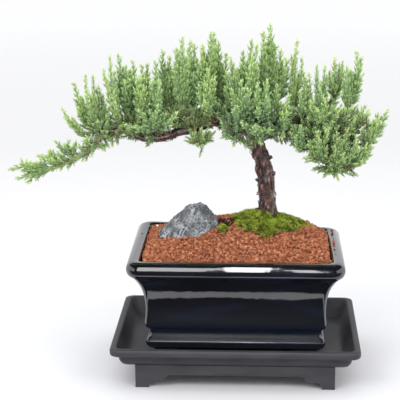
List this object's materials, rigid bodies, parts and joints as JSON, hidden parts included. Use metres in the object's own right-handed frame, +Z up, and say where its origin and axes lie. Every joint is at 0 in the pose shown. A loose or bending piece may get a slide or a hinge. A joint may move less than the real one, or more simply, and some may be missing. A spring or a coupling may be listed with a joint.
{
  "type": "bonsai tree in a pot",
  "caption": "Juniper bonsai with upright foliage plumes and one long limb reaching past a rectangular glazed pot of gravel, moss and a stone, standing on a footed drip tray.",
  "frame": {"origin": "centre of the whole plant's bounding box in plan, on the plane that the drip tray's feet stand on", "axes": "+Z up; +X along the pot's long side, away from the long reaching limb; +Y towards the back, so the tree is looked at from -Y"},
  "size_m": [0.2726, 0.1276, 0.251],
  "materials": {
    "tray_plastic": "matte charcoal",
    "pot_glaze": "glossy blue-black glaze",
    "screen_plastic": "matte",
    "potting_soil": "crumbly",
    "lava_gravel": "rough granules",
    "moss": "soft",
    "slate_stone": "rough, with pale veins",
    "juniper_bark": "peeling bark",
    "juniper_foliage": "needled"
  },
  "bodies": {
    "root": {"drip_tray": "tray_plastic", "glazed_pot": "pot_glaze", "drain_screen_left": "screen_plastic", "drain_screen_right": "screen_plastic", "potting_soil": "potting_soil", "lava_gravel": "lava_gravel", "moss_mound": "moss", "moss_tuft": "moss", "accent_stone": "slate_stone", "juniper_wood": "juniper_bark", "spray_droop_tip": "juniper_foliage", "spray_droop_rise": "juniper_foliage", "spray_droop_mid": "juniper_foliage", "spray_elbow_low": "juniper_foliage", "spray_left_outer": "juniper_foliage", "spray_left_high_a": "juniper_foliage", "spray_left_high_b": "juniper_foliage", "spray_left_high_c": "juniper_foliage", "spray_pad_outer": "juniper_foliage", "spray_pad_mid": "juniper_foliage", "spray_pad_inner": "juniper_foliage", "spray_pad_back": "juniper_foliage", "spray_limb_front": "juniper_foliage", "spray_mid_a": "juniper_foliage", "spray_mid_b": "juniper_foliage", "spray_mid_c": "juniper_foliage", "spray_mid_d": "juniper_foliage", "spray_mid_back": "juniper_foliage", "spray_crown_a": "juniper_foliage", "spray_crown_a_front": "juniper_foliage", "spray_crown_b": "juniper_foliage", "spray_crown_c": "juniper_foliage", "spray_crown_d": "juniper_foliage", "spray_crown_e": "juniper_foliage", "spray_crown_top": "juniper_foliage", "spray_crown_f": "juniper_foliage", "spray_front_a": "juniper_foliage", "spray_front_b": "juniper_foliage", "spray_front_c": "juniper_foliage", "spray_under_left": "juniper_foliage", "spray_under_front": "juniper_foliage", "spray_back_a": "juniper_foliage", "spray_back_b": "juniper_foliage", "spray_back_c": "juniper_foliage", "spray_lone_shoot": "juniper_foliage", "spray_right_a": "juniper_foliage", "spray_right_b": "juniper_foliage", "spray_right_c": "juniper_foliage", "spray_right_d": "juniper_foliage", "spray_right_e": "juniper_foliage", "spray_right_tip": "juniper_foliage", "spray_right_front": "juniper_foliage", "spray_right_near": "juniper_foliage", "spray_right_low_a": "juniper_foliage", "spray_right_low_b": "juniper_foliage", "spray_right_mid": "juniper_foliage", "spray_right_fan": "juniper_foliage", "spray_right_back_a": "juniper_foliage", "spray_right_back_b": "juniper_foliage", "spray_limb_under": "juniper_foliage"}
  },
  "joints": []
}
